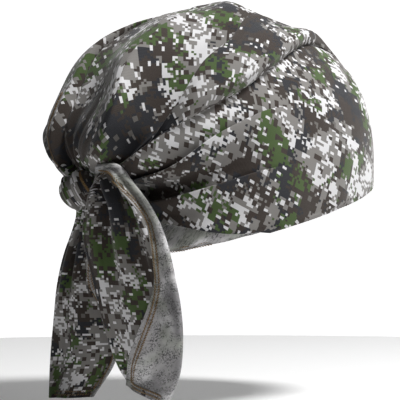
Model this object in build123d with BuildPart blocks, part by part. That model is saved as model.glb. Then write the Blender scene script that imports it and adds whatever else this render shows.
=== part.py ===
"""Stretch-cloth camouflage face mask, tied as a head wrap, in millimetres.

The cloth is one doubled tube, folded at the brow and knotted behind the head. The frame's origin is the
centre of the head opening. +Z is up, -Y is the way the wearer looks, and the wearer's right is -X.
"""

from math import cos, radians, sin
from os import makedirs

from build123d import *

# Head opening and cap
OPENING_TILT = 14.4  # the opening's plane drops towards the nape, degrees
OUTLINE_POINTS = 20
BACK_BLUNTNESS = 0.86  # under 1 squares the back of the outline
# height over the opening, half width, front, back: each measured in the opening's own plane
CAP_SECTIONS = (
    (0, 79, -102, 95),
    (25, 82, -107, 95),
    (50, 82, -108, 100),
    (75, 79, -101, 114),
    (100, 70, -85, 106),
    (120, 54, -62, 84),
    (134, 36, -40, 58),
    (142, 14, -20, 22),
)
CROWN_INNER = 0.982  # inner face of the outer layer, as a share of its outer face
LINING_OUTER = 0.976
LINING_INNER = 0.963
BROW_FOLD_DEPTH = 2.6
BROW_FOLD_BACK = 52  # the folded edge ends this far behind the opening's centre
RISE_START = 55  # behind this the outer layer rides up and bares the lining
RISE_ANGLE = 33  # from the opening's plane, degrees
SKIN_GAP = 0.1  # between pieces of cloth that lie on each other

# Knot
KNOT_X, KNOT_Y, KNOT_Z = 9, 121, 18
WRAP_RADIUS, WRAP_LENGTH = 11, 22
CORE_RADIUS, CORE_LENGTH = 7.4, 48
BORE_CLEAR = 0.15
GATHER_OUTER, GATHER_INNER = 1.03, 1.004
FOLD_OUTER, FOLD_INNER = 1.07, 1.006

# Tails
TAIL_FACING = 28  # the tails face this far to the wearer's right of straight back, degrees
CLOTH = 2.4  # a tail's cloth lies double
ROLL = 2.0  # its turned-back edge
RIGHT_BACK, LEFT_BACK = 116.8, 86.8  # distance from the origin to the head side of each tail
HINGE_GAP = 5.4
STITCH_WIDTH, STITCH_RAISE = 3.2, 0.5
RIGHT_TOP, RIGHT_LIFT, RIGHT_CURL = 26, -2, -54  # heights of the top edge and of the two bends
LEFT_TOP, LEFT_LIFT, LEFT_CURL = 4, -10, -64
TAIL_END = -130  # below both tails
ROLL_BACK = RIGHT_BACK + CLOTH + SKIN_GAP
ROLL_FACE = ROLL_BACK + ROLL + SKIN_GAP
LEFT_FACE = LEFT_BACK + CLOTH + SKIN_GAP
FAR = 400

# Bottom and top of each length of tail, between the bends
RIGHT_BANDS = {
    "root": (RIGHT_LIFT + HINGE_GAP / 2, RIGHT_TOP),
    "upper": (RIGHT_CURL + HINGE_GAP / 2, RIGHT_LIFT - HINGE_GAP / 2),
    "lower": (TAIL_END, RIGHT_CURL - HINGE_GAP / 2),
}
LEFT_BANDS = {
    "root": (LEFT_LIFT + HINGE_GAP / 2, LEFT_TOP),
    "upper": (LEFT_CURL + HINGE_GAP / 2, LEFT_LIFT - HINGE_GAP / 2),
    "lower": (TAIL_END, LEFT_CURL - HINGE_GAP / 2),
}

OPENING = Plane(
    origin=(0, 0, 0), x_dir=(1, 0, 0), z_dir=(0, sin(radians(OPENING_TILT)), cos(radians(OPENING_TILT)))
)
FACING = Vector(-sin(radians(TAIL_FACING)), cos(radians(TAIL_FACING)), 0)
ACROSS = Vector(-cos(radians(TAIL_FACING)), -sin(radians(TAIL_FACING)), 0)
RISE_POINT = OPENING.from_local_coords((0, RISE_START, 0))
NAPE_STITCH_POINT = OPENING.from_local_coords((0, 83, 4))

# Tail outlines, in each tail's own plane: distance across to the wearer's right, height
RIGHT_INNER_SIDE = ((-40, 26), (-41, 11), (-46, 1), (-47, -15), (-39, -53), (-26, -84), (-18, -103))
RIGHT_OUTER_SIDE = ((7, -110), (13, -98), (19, -60), (18, -40), (10, -8), (2, 7), (-11, 26))
RIGHT_ROLL_EDGE = (
    (-12, 20), (-4, 7), (3, -5), (6, -21), (6, -34), (2, -46), (-12, -72), (-17, -85), (-18, -103)
)
RIGHT_HEM_LINE = ((6, 4), (8.5, -21), (8.5, -34), (4.5, -46), (-9.5, -72), (-14, -85), (-14.5, -93))
RIGHT_END_LINE = ((-14, -100), (-4, -103), (6, -105.5))
LEFT_OUTER_SIDE = ((-92, -116), (-90, -77), (-87, -41), (-79, -19), (-72, 4))
LEFT_INNER_SIDE = ((-60, 4), (-62, -15), (-57, -38), (-45, -87), (-52, -102), (-63, -113))
LEFT_HEM_LINE = ((-66, -8), (-64.5, -20), (-60, -38), (-52, -64), (-49, -86))
LEFT_END_LINE = ((-88.5, -111.5), (-66, -108.5), (-57, -101))


def cap_outline(half_width, front, back, scale):
    """Points of one section: round at the brow, blunter at the back."""
    middle = (front + back) / 2
    points = []
    for i in range(OUTLINE_POINTS):
        angle = radians(360 * (i + 0.5) / OUTLINE_POINTS)
        across, along = cos(angle), sin(angle)
        power = BACK_BLUNTNESS if along > 0 else 1.0
        x = half_width * abs(across) ** power * (1 if across > 0 else -1)
        y = middle + (back - front) / 2 * abs(along) ** power * (1 if along > 0 else -1)
        points.append((x * scale, y * scale))
    return points


def cap_sections(scale):
    """The cap's cross-sections, shrunk or grown about the centre of the head opening."""
    faces = []
    for height, half_width, front, back in CAP_SECTIONS:
        with BuildSketch(OPENING.offset(height * scale)) as section:
            with BuildLine():
                Spline(*cap_outline(half_width, front, back, scale), periodic=True)
            make_face()
        faces.append(section.sketch.face())
    return faces


def cap_rim(scale):
    """The cap's outline in the plane of the head opening."""
    with BuildSketch(OPENING.offset(-SKIN_GAP)) as rim:
        with BuildLine():
            Spline(*cap_outline(*CAP_SECTIONS[0][1:], scale), periodic=True)
        make_face()
    return rim.sketch.face()


def below_rise(shift):
    """Side view of everything under the outer layer's rising rear edge, moved up by shift."""
    with BuildSketch(Plane.YZ.offset(-FAR / 2)) as side:
        with Locations((RISE_POINT.Y, RISE_POINT.Z + shift)):
            Rectangle(FAR, FAR, rotation=RISE_ANGLE - OPENING_TILT, align=(Align.MIN, Align.MAX))
    return side.sketch.face()


def back_view(*corners):
    """A patch of the cap's back, seen from straight behind."""
    with BuildSketch(Plane.XZ.offset(-FAR)) as patch:
        with BuildLine():
            Polyline(*corners, close=True)
        make_face()
    return patch.sketch.face()


def tail_plane(depth):
    """X runs to the wearer's right, Y is up and Z is the way the tail faces."""
    return Plane(origin=FACING * depth, x_dir=ACROSS, z_dir=FACING)


def tail_band(depth, side, other_side, bottom, top):
    """The part of a tail's outline between two heights. One side is given downwards, the other upwards."""
    with BuildSketch(tail_plane(depth)) as band:
        with BuildLine():
            Spline(*side)
            Spline(*other_side)
            Line(side[-1], other_side[0])
            Line(other_side[-1], side[0])
        make_face()
        with Locations((0, (bottom + top) / 2)):
            Rectangle(FAR, top - bottom, mode=Mode.INTERSECT)
    return band.sketch.face()


def stitch_band(depth, line, bottom, top):
    """A ribbon of stitching along a line, between two heights."""
    with BuildSketch(tail_plane(depth)) as ribbon:
        with BuildLine():
            Spline(*line)
        trace(line_width=STITCH_WIDTH)
        with Locations((0, (bottom + top) / 2)):
            Rectangle(FAR, top - bottom, mode=Mode.INTERSECT)
    return ribbon.sketch.face()


def finish(shape, name):
    """Labels a piece and writes its STEP file."""
    shape.label = name
    export_step(shape, f"parts/{name}.step")


makedirs("parts", exist_ok=True)

# Outer layer: the printed cloth over the head
with BuildPart() as crown_cloth:
    loft(sections=cap_sections(1.0))
    loft(sections=cap_sections(CROWN_INNER), mode=Mode.SUBTRACT)
    extrude(below_rise(0), amount=FAR, mode=Mode.SUBTRACT)
finish(crown_cloth.part, "crown_cloth")

# Inner layer where the outer one covers it
with BuildPart() as lining_cloth:
    loft(sections=cap_sections(LINING_OUTER))
    loft(sections=cap_sections(LINING_INNER), mode=Mode.SUBTRACT)
    extrude(below_rise(0), amount=FAR, mode=Mode.SUBTRACT)
finish(lining_cloth.part, "lining_cloth")

# Inner layer bared at the nape
with BuildPart() as nape_lining:
    loft(sections=cap_sections(LINING_OUTER))
    loft(sections=cap_sections(LINING_INNER), mode=Mode.SUBTRACT)
    extrude(below_rise(-SKIN_GAP), amount=FAR, mode=Mode.INTERSECT)
finish(nape_lining.part, "nape_lining")

# Folded edge that joins the two layers round the brow
with BuildPart() as brow_fold:
    extrude(cap_rim(1.0), amount=-BROW_FOLD_DEPTH)
    extrude(cap_rim(LINING_INNER), amount=-BROW_FOLD_DEPTH, mode=Mode.SUBTRACT)
    with BuildSketch(Plane.XY.offset(-FAR / 2)):
        with Locations((0, BROW_FOLD_BACK)):
            Rectangle(FAR, FAR, align=(Align.CENTER, Align.MAX))
    extrude(amount=FAR, mode=Mode.INTERSECT)
finish(brow_fold.part, "brow_fold")

# Cloth drawn from the sides into the knot
with BuildPart() as right_tie_gather:
    loft(sections=cap_sections(GATHER_OUTER))
    loft(sections=cap_sections(GATHER_INNER), mode=Mode.SUBTRACT)
    extrude(back_view((-64, 32), (-64, -2), (-2.3, 10), (-2.3, 26)), amount=FAR, mode=Mode.INTERSECT)
    with Locations(Plane(origin=(KNOT_X, KNOT_Y, KNOT_Z), z_dir=(1, 0, 0))):
        Cylinder(CORE_RADIUS + BORE_CLEAR, FAR, mode=Mode.SUBTRACT)
finish(right_tie_gather.part, "right_tie_gather")

with BuildPart() as left_tie_gather:
    loft(sections=cap_sections(GATHER_OUTER))
    loft(sections=cap_sections(GATHER_INNER), mode=Mode.SUBTRACT)
    extrude(back_view((72, 32), (72, -2), (20.3, 10), (20.3, 26)), amount=FAR, mode=Mode.INTERSECT)
    with Locations(Plane(origin=(KNOT_X, KNOT_Y, KNOT_Z), z_dir=(1, 0, 0))):
        Cylinder(CORE_RADIUS + BORE_CLEAR, FAR, mode=Mode.SUBTRACT)
finish(left_tie_gather.part, "left_tie_gather")

# Loose fold that stands off the back, on the wearer's left
with BuildPart() as left_back_fold:
    loft(sections=cap_sections(FOLD_OUTER))
    loft(sections=cap_sections(FOLD_INNER), mode=Mode.SUBTRACT)
    outline = back_view((26, 33), (48, 37), (54, 70), (46, 104), (30, 104), (24, 60))
    extrude(outline, amount=FAR, mode=Mode.INTERSECT)
finish(left_back_fold.part, "left_back_fold")

# Knot
with BuildPart() as knot_core:
    with Locations(Plane(origin=(KNOT_X, KNOT_Y, KNOT_Z), z_dir=(1, 0, 0))):
        Cylinder(CORE_RADIUS, CORE_LENGTH)
    fillet(knot_core.edges().filter_by(GeomType.CIRCLE), radius=2.5)
finish(knot_core.part, "knot_core")

with BuildPart() as knot_wrap:
    with Locations(Plane(origin=(KNOT_X, KNOT_Y, KNOT_Z), z_dir=(1, 0, 0))):
        Cylinder(WRAP_RADIUS, WRAP_LENGTH)
    fillet(knot_wrap.edges().filter_by(GeomType.CIRCLE), radius=3)
    with Locations(Plane(origin=(KNOT_X, KNOT_Y, KNOT_Z), z_dir=(1, 0, 0))):
        Cylinder(CORE_RADIUS + BORE_CLEAR, FAR, mode=Mode.SUBTRACT)
finish(knot_wrap.part, "knot_wrap")

# Seam stitching that shows on the outside of the knot
with BuildPart() as knot_seam_stitch:
    with BuildSketch(Plane(origin=(KNOT_X - 5, KNOT_Y, KNOT_Z), x_dir=(0, 1, 0), z_dir=(1, 0, 0))):
        Circle(WRAP_RADIUS + SKIN_GAP + STITCH_RAISE)
        Circle(WRAP_RADIUS + SKIN_GAP, mode=Mode.SUBTRACT)
        Rectangle(FAR, FAR, align=(Align.MIN, Align.CENTER), mode=Mode.INTERSECT)
    extrude(amount=1.6)
finish(knot_seam_stitch.part, "knot_seam_stitch")

# Corner of the hem that peeps out where the brow's fold ends
with BuildPart() as hem_corner:
    loft(sections=cap_sections(CROWN_INNER))
    loft(sections=cap_sections(LINING_OUTER + 0.001), mode=Mode.SUBTRACT)
    with BuildSketch(Plane.YZ.offset(-FAR)):
        with BuildLine():
            Polyline((60, -15.2), (78, -19.8), (78, -10), close=True)
        make_face()
    extrude(amount=FAR, mode=Mode.INTERSECT)
finish(hem_corner.part, "hem_corner")

# Right tail: a leaf of cloth whose outer edge is turned back
with BuildPart() as right_tail_root:
    extrude(tail_band(RIGHT_BACK, RIGHT_INNER_SIDE, RIGHT_OUTER_SIDE, *RIGHT_BANDS["root"]), amount=CLOTH)
finish(right_tail_root.part, "right_tail_root")

with BuildPart() as right_tail_upper:
    extrude(tail_band(RIGHT_BACK, RIGHT_INNER_SIDE, RIGHT_OUTER_SIDE, *RIGHT_BANDS["upper"]), amount=CLOTH)
finish(right_tail_upper.part, "right_tail_upper")

with BuildPart() as right_tail_lower:
    extrude(tail_band(RIGHT_BACK, RIGHT_INNER_SIDE, RIGHT_OUTER_SIDE, *RIGHT_BANDS["lower"]), amount=CLOTH)
finish(right_tail_lower.part, "right_tail_lower")

with BuildPart() as right_tail_roll_upper:
    extrude(tail_band(ROLL_BACK, RIGHT_ROLL_EDGE, RIGHT_OUTER_SIDE, *RIGHT_BANDS["upper"]), amount=ROLL)
finish(right_tail_roll_upper.part, "right_tail_roll_upper")

with BuildPart() as right_tail_roll_lower:
    extrude(tail_band(ROLL_BACK, RIGHT_ROLL_EDGE, RIGHT_OUTER_SIDE, *RIGHT_BANDS["lower"]), amount=ROLL)
finish(right_tail_roll_lower.part, "right_tail_roll_lower")

# Coverstitch along the right tail's hem
with BuildPart() as right_hem_stitch_upper:
    extrude(stitch_band(ROLL_FACE, RIGHT_HEM_LINE, *RIGHT_BANDS["upper"]), amount=STITCH_RAISE)
finish(right_hem_stitch_upper.part, "right_hem_stitch_upper")

with BuildPart() as right_hem_stitch_lower:
    extrude(stitch_band(ROLL_FACE, RIGHT_HEM_LINE, *RIGHT_BANDS["lower"]), amount=STITCH_RAISE)
finish(right_hem_stitch_lower.part, "right_hem_stitch_lower")

with BuildPart() as right_end_stitch:
    extrude(stitch_band(ROLL_FACE, RIGHT_END_LINE, *RIGHT_BANDS["lower"]), amount=STITCH_RAISE)
finish(right_end_stitch.part, "right_end_stitch")

# Left tail
with BuildPart() as left_tail_root:
    extrude(tail_band(LEFT_BACK, LEFT_INNER_SIDE, LEFT_OUTER_SIDE, *LEFT_BANDS["root"]), amount=CLOTH)
finish(left_tail_root.part, "left_tail_root")

with BuildPart() as left_tail_upper:
    extrude(tail_band(LEFT_BACK, LEFT_INNER_SIDE, LEFT_OUTER_SIDE, *LEFT_BANDS["upper"]), amount=CLOTH)
finish(left_tail_upper.part, "left_tail_upper")

with BuildPart() as left_tail_lower:
    extrude(tail_band(LEFT_BACK, LEFT_INNER_SIDE, LEFT_OUTER_SIDE, *LEFT_BANDS["lower"]), amount=CLOTH)
finish(left_tail_lower.part, "left_tail_lower")

with BuildPart() as left_hem_stitch_upper:
    extrude(stitch_band(LEFT_FACE, LEFT_HEM_LINE, *LEFT_BANDS["upper"]), amount=STITCH_RAISE)
finish(left_hem_stitch_upper.part, "left_hem_stitch_upper")

with BuildPart() as left_hem_stitch_lower:
    extrude(stitch_band(LEFT_FACE, LEFT_HEM_LINE, *LEFT_BANDS["lower"]), amount=STITCH_RAISE)
finish(left_hem_stitch_lower.part, "left_hem_stitch_lower")

with BuildPart() as left_end_stitch:
    extrude(stitch_band(LEFT_FACE, LEFT_END_LINE, *LEFT_BANDS["lower"]), amount=STITCH_RAISE)
finish(left_end_stitch.part, "left_end_stitch")

# Coverstitch on the hem of the bared lining, and on the edge of the back fold
with BuildPart() as nape_hem_stitch:
    loft(sections=cap_sections(LINING_OUTER + 0.006))
    loft(sections=cap_sections(LINING_OUTER + 0.001), mode=Mode.SUBTRACT)
    with BuildSketch(Plane.YZ.offset(-FAR / 2)):
        with Locations((NAPE_STITCH_POINT.Y, NAPE_STITCH_POINT.Z)):
            Rectangle(FAR, STITCH_WIDTH, rotation=-OPENING_TILT, align=(Align.MIN, Align.CENTER))
    extrude(amount=FAR, mode=Mode.INTERSECT)
finish(nape_hem_stitch.part, "nape_hem_stitch")

with BuildPart() as back_fold_stitch:
    loft(sections=cap_sections(FOLD_OUTER + 0.006))
    loft(sections=cap_sections(FOLD_OUTER + 0.001), mode=Mode.SUBTRACT)
    extrude(back_view((41, 40), (44, 40), (46.5, 68), (43.5, 68)), amount=FAR, mode=Mode.INTERSECT)
finish(back_fold_stitch.part, "back_fold_stitch")
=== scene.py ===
import math

import bpy
import numpy as np
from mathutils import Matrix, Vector
from mathutils.bvhtree import BVHTree


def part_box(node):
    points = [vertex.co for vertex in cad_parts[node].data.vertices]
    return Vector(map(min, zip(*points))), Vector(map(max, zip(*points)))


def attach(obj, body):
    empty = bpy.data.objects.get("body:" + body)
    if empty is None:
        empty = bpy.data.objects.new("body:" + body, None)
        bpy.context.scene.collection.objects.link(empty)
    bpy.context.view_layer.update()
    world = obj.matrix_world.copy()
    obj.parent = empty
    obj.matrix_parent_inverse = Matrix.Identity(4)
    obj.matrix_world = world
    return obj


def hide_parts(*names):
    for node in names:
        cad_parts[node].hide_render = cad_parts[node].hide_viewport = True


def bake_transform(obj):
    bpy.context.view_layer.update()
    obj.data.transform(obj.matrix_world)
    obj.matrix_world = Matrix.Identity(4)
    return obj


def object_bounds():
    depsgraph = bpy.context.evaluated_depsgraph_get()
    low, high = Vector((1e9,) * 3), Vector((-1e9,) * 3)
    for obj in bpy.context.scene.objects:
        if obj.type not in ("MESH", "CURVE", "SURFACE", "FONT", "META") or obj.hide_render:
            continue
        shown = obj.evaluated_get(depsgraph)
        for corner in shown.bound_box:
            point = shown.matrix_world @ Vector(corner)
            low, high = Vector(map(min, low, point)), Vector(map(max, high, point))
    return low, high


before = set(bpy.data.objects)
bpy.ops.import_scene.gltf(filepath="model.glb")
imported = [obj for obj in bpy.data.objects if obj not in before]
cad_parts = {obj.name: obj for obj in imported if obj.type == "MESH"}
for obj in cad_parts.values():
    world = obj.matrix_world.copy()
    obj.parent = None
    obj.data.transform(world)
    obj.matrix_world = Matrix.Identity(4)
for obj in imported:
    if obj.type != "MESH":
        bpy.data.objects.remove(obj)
CAD_LOW, CAD_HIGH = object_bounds()
MM = 0.001
rng = np.random.default_rng(7)

# ---------------------------------------------------------------- helpers


def smooth(x):
    x = np.clip(x, 0.0, 1.0)
    return x * x * (3 - 2 * x)


def curve(points, t):
    """Smooth interpolation through rows of (t, value...), in order of t."""
    points = np.array(points, float)
    x, y = points[:, 0], points[:, 1:]
    d = np.gradient(y, x, axis=0) if len(x) > 2 else np.diff(y, axis=0).repeat(2, 0) / (x[1] - x[0])
    t = np.clip(np.asarray(t, float), x[0], x[-1])
    k = np.clip(np.searchsorted(x, t) - 1, 0, len(x) - 2)
    h = (x[k + 1] - x[k])[..., None]
    s = ((t - x[k]) / (x[k + 1] - x[k]))[..., None]
    out = (
        (2 * s**3 - 3 * s**2 + 1) * y[k]
        + (s**3 - 2 * s**2 + s) * h * d[k]
        + (3 * s**2 - 2 * s**3) * y[k + 1]
        + (s**3 - s**2) * h * d[k + 1]
    )
    return out[..., 0] if out.shape[-1] == 1 else out


def blend4(q0, q1, q2, q3, a, b):
    """A value inside a four-cornered cell: a runs from q0 to q3 and b from q0 to q1."""
    return q0 * (1 - a) * (1 - b) + q1 * (1 - a) * b + q2 * a * b + q3 * a * (1 - b)


def waves(x, y, seed, lengths):
    """A smooth random height from a few sine waves, about -1 to 1."""
    r = np.random.default_rng(seed)
    total = np.zeros(np.broadcast(x, y).shape)
    for length in lengths:
        a = r.uniform(0, math.pi)
        run = x * math.cos(a) + y * math.sin(a)
        total = total + np.sin(2 * math.pi * run / length + r.uniform(0, 6.28))
    return total / len(lengths)


def unit(v):
    return v / np.maximum(np.linalg.norm(v, axis=-1, keepdims=True), 1e-9)


def to_scene(name, data):
    obj = bpy.data.objects.new(name, data)
    bpy.context.scene.collection.objects.link(obj)
    return obj


def grid_mesh(name, points, uv, materials, closed=False):
    """A mesh from points (rows, columns, 3) in metres. Its UVs are metres of flat cloth, given per point as
    (rows, columns, 2) or per face as (faces, 4, 2)."""
    rows, cols = points.shape[:2]
    mesh = bpy.data.meshes.new(name)
    index = np.arange(rows * cols).reshape(rows, cols)
    a, b = index[:-1, :-1], index[:-1, 1:]
    c, d = index[1:, 1:], index[1:, :-1]
    faces = np.stack([a, b, c, d], -1).reshape(-1, 4)
    if closed:
        last = np.stack([index[:-1, -1], index[:-1, 0], index[1:, 0], index[1:, -1]], -1)
        faces = np.vstack([faces, last.reshape(-1, 4)])
    mesh.from_pydata(points.reshape(-1, 3).tolist(), [], faces.tolist())
    layer = mesh.uv_layers.new(name="Cloth")
    per_point = uv.shape[:2] == points.shape[:2]
    loops = uv.reshape(-1, 2)[faces.reshape(-1)] if per_point else uv.reshape(-1, 2)
    layer.data.foreach_set("uv", loops.astype(np.float32).ravel())
    for m in materials:
        mesh.materials.append(m)
    mesh.polygons.foreach_set("use_smooth", [True] * len(mesh.polygons))
    mesh.update()
    return to_scene(name, mesh)


def thicken(obj, thickness):
    """Cloth thickness, inward. Slot 0 is the outer side, slot 1 the inner side and slot 2 the cut edge."""
    m = obj.modifiers.new("Thickness", "SOLIDIFY")
    m.thickness = thickness
    m.offset = -1.0
    m.use_quality_normals = False
    m.material_offset = 1
    m.material_offset_rim = 2
    shaped = obj.evaluated_get(bpy.context.evaluated_depsgraph_get())
    solid = bpy.data.meshes.new_from_object(shaped)
    obj.modifiers.clear()
    obj.data = solid
    solid.set_sharp_from_angle(angle=math.radians(65))


# ---------------------------------------------------------------- materials

KNIT_RIB = 0.9 * MM


class Nodes:
    """Short names for building a shader."""

    def __init__(self, name, roughness, sheen):
        self.material = bpy.data.materials.new(name)
        self.material.use_nodes = True
        self.tree = self.material.node_tree
        self.bsdf = self.tree.nodes["Principled BSDF"]
        self.bsdf.inputs["Roughness"].default_value = roughness
        self.bsdf.inputs["Sheen Weight"].default_value = sheen
        self.bsdf.inputs["Sheen Roughness"].default_value = 0.45
        self.bsdf.inputs["Specular IOR Level"].default_value = 0.18

    def new(self, kind, **settings):
        n = self.tree.nodes.new(kind)
        for key, value in settings.items():
            setattr(n, key, value)
        return n

    def put(self, value, socket):
        if isinstance(value, bpy.types.NodeSocket):
            self.tree.links.new(value, socket)
        else:
            socket.default_value = value

    def math(self, op, a, b=0.0):
        n = self.new("ShaderNodeMath", operation=op)
        self.put(a, n.inputs[0])
        self.put(b, n.inputs[1])
        return n.outputs[0]

    def vector(self, op, a, b=(0, 0, 0)):
        n = self.new("ShaderNodeVectorMath", operation=op)
        self.put(a, n.inputs[0])
        self.put(b, n.inputs[1])
        return n.outputs[0]

    def mix(self, share, a, b):
        n = self.new("ShaderNodeMix", data_type="RGBA")
        self.put(share, n.inputs["Factor"])
        self.put(a, n.inputs["A"])
        self.put(b, n.inputs["B"])
        return n.outputs["Result"]

    def noise(self, vector, scale, detail=2.0, roughness=0.5):
        n = self.new("ShaderNodeTexNoise", noise_dimensions="3D")
        self.put(vector, n.inputs["Vector"])
        n.inputs["Scale"].default_value = scale
        n.inputs["Detail"].default_value = detail
        n.inputs["Roughness"].default_value = roughness
        return n.outputs["Fac"]

    def random(self, vector):
        n = self.new("ShaderNodeTexWhiteNoise", noise_dimensions="3D")
        self.put(vector, n.inputs["Vector"])
        return n.outputs["Value"]

    def over(self, value, threshold, soft=0.0):
        """1 where the value passes the threshold, with a soft edge of that half width."""
        if soft == 0.0:
            return self.math("GREATER_THAN", value, threshold)
        n = self.new("ShaderNodeMapRange", interpolation_type="SMOOTHSTEP")
        self.put(value, n.inputs["Value"])
        n.inputs["From Min"].default_value = threshold - soft
        n.inputs["From Max"].default_value = threshold + soft
        return n.outputs["Result"]

    def knit_bump(self, uv, strength):
        """Fine vertical ribs of the knit, with fuzz and small creases."""
        scaled = self.vector("MULTIPLY", uv, (1 / KNIT_RIB, 0.45 / KNIT_RIB, 1))
        wave = self.new(
            "ShaderNodeTexWave", wave_type="BANDS", bands_direction="X", wave_profile="SIN"
        )
        self.put(scaled, wave.inputs["Vector"])
        wave.inputs["Scale"].default_value = 0.32
        wave.inputs["Distortion"].default_value = 1.2
        fuzz = self.noise(uv, 2600.0, 3.0, 0.6)
        crumple = self.noise(uv, 55.0, 3.0, 0.55)
        height = self.math("ADD", self.math("MULTIPLY", wave.outputs["Fac"], 0.5), fuzz)
        height = self.math("ADD", height, self.math("MULTIPLY", crumple, 2.2))
        bump = self.new("ShaderNodeBump")
        bump.inputs["Strength"].default_value = strength
        bump.inputs["Distance"].default_value = 0.0006
        self.put(height, bump.inputs["Height"])
        self.put(bump.outputs["Normal"], self.bsdf.inputs["Normal"])

    def colour(self, value):
        self.put(value, self.bsdf.inputs["Base Color"])


def rgb(r, g, b):
    """sRGB 0-255 to linear."""
    out = []
    for v in (r, g, b):
        v = v / 255
        out.append(v / 12.92 if v <= 0.04045 else ((v + 0.055) / 1.055) ** 2.4)
    return (*out, 1.0)


WHITE, PALE, GREY = rgb(230, 229, 231), rgb(134, 131, 128), rgb(104, 101, 97)
GREEN = rgb(66, 90, 38)
NAVY, BROWN, SPECK = rgb(24, 27, 37), rgb(48, 37, 31), rgb(52, 40, 34)
PIXEL = 1.65 * MM  # side of one printed square


def flat_cloth(n):
    return n.new("ShaderNodeUVMap", uv_map="Cloth").outputs["UV"]


def camo_patches(n, uv, soft):
    """The printed squares' coordinates and the print's large patches. soft 0 gives square edges."""
    cells = n.vector("MULTIPLY", uv, (1 / PIXEL, 1 / PIXEL, 0))
    wobble = 0.0
    if soft == 0.0:
        cells = n.vector("ADD", n.vector("FLOOR", cells), (0.5, 0.5, 0))
        blocks = n.vector("FLOOR", n.vector("MULTIPLY", cells, (1 / 3, 1 / 4, 0)))
        jitter = n.math("MULTIPLY", n.math("SUBTRACT", n.random(blocks), 0.5), 0.15)
        fine = n.math("MULTIPLY", n.math("SUBTRACT", n.random(cells), 0.5), 0.10)
        wobble = n.math("ADD", jitter, fine)

    def patch(offset, scale, threshold, stretch=(1, 1, 1)):
        moved = n.vector("ADD", n.vector("MULTIPLY", cells, stretch), offset)
        return n.over(n.math("ADD", n.noise(moved, scale, 1.5, 0.5), wobble), threshold, soft)

    dark = patch((11.3, 3.1, 7.7), 0.055, 0.545, (1, 0.8, 1))
    brown = patch((40.7, 9.2, 1.3), 0.070, 0.50)
    green = patch((5.2, 60.4, 3.3), 0.066, 0.545, (1, 0.9, 1))
    white = patch((91.1, 17.9, 8.8), 0.080, 0.545, (1, 1.2, 1))
    return cells, dark, brown, green, white


def camo_specks(n, cells):
    """Random values that change every two squares along a row, and every two by two squares."""
    dashes = n.vector("FLOOR", n.vector("MULTIPLY", cells, (0.5, 1, 0)))
    dots = n.vector("FLOOR", n.vector("MULTIPLY", cells, (0.5, 0.5, 0)))
    dash = n.random(n.vector("ADD", dashes, (3.5, 8.5, 2.5)))
    return dash, n.random(n.vector("ADD", dots, (9.5, 1.5, 6.5)))


def print_side():
    n = Nodes("camo_print", 0.82, 0.25)
    uv = flat_cloth(n)
    cells, dark, brown, green, white = camo_patches(n, uv, 0.0)
    dash, dot = camo_specks(n, cells)
    pale = n.mix(n.over(dot, 0.80), PALE, SPECK)
    pale = n.mix(n.over(dash, 0.88), pale, WHITE)
    light = n.mix(n.over(dash, 0.74), WHITE, PALE)
    colour = n.mix(white, pale, light)
    greens = n.mix(n.over(dash, 0.92), GREEN, WHITE)
    greens = n.mix(n.over(dot, 0.80), greens, SPECK)
    colour = n.mix(green, colour, greens)
    darks = n.mix(brown, NAVY, BROWN)
    darks = n.mix(n.over(dash, 0.972), darks, WHITE)
    darks = n.mix(n.over(dot, 0.972), darks, GREY)
    colour = n.mix(dark, colour, darks)
    fuzz = n.math("MULTIPLY", n.noise(uv, 1700.0, 2.0, 0.7), 0.22)
    colour = n.mix(fuzz, colour, rgb(128, 126, 122))
    n.colour(colour)
    n.knit_bump(uv, 0.35)
    return n.material


def reverse_side():
    """The unprinted side: whitish, with the print bleeding through in blurred patches."""
    n = Nodes("camo_reverse", 0.88, 0.3)
    uv = flat_cloth(n)
    _, dark, _, green, white = camo_patches(n, uv, 0.07)
    colour = n.mix(n.math("MULTIPLY", white, 0.6), rgb(182, 180, 181), rgb(236, 235, 236))
    colour = n.mix(n.math("MULTIPLY", green, 0.40), colour, rgb(98, 112, 74))
    colour = n.mix(n.math("MULTIPLY", dark, 0.62), colour, rgb(92, 91, 94))
    cloud = n.over(n.noise(uv, 130.0, 4.0, 0.62), 0.49, 0.10)
    grain = n.over(n.noise(uv, 760.0, 3.0, 0.65), 0.51, 0.07)
    mottle = n.math("MULTIPLY", cloud, grain)
    colour = n.mix(n.math("MULTIPLY", mottle, 0.85), colour, rgb(70, 70, 70))
    fleck = n.over(n.noise(n.vector("ADD", uv, (3.1, 1.7, 0)), 520.0, 2.0, 0.6), 0.66, 0.02)
    colour = n.mix(n.math("MULTIPLY", fleck, 0.8), colour, rgb(56, 66, 38))
    n.colour(colour)
    n.knit_bump(uv, 0.4)
    return n.material


def cut_edge():
    n = Nodes("cut_edge", 0.9, 0.2)
    n.colour(rgb(176, 174, 170))
    return n.material


def thread():
    n = Nodes("tan_thread", 0.6, 0.15)
    place = n.new("ShaderNodeTexCoord").outputs["Object"]
    colour = n.mix(n.noise(place, 900.0, 2.0, 0.5), rgb(92, 70, 42), rgb(158, 130, 88))
    n.colour(colour)
    return n.material


PRINT, REVERSE, EDGE, THREAD = print_side(), reverse_side(), cut_edge(), thread()
OUTSIDE_PRINT = (PRINT, REVERSE, EDGE)
OUTSIDE_REVERSE = (REVERSE, PRINT, EDGE)

# ---------------------------------------------------------------- the cap's base shape


def bvh(*names):
    verts, faces = [], []
    for name in names:
        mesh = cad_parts[name].data
        base = len(verts)
        verts += [v.co.copy() for v in mesh.vertices]
        faces += [[base + i for i in p.vertices] for p in mesh.polygons]
    return BVHTree.FromPolygons(verts, faces)


CROWN = bvh("crown_cloth")
LINING = bvh("lining_cloth", "nape_lining")

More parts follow.
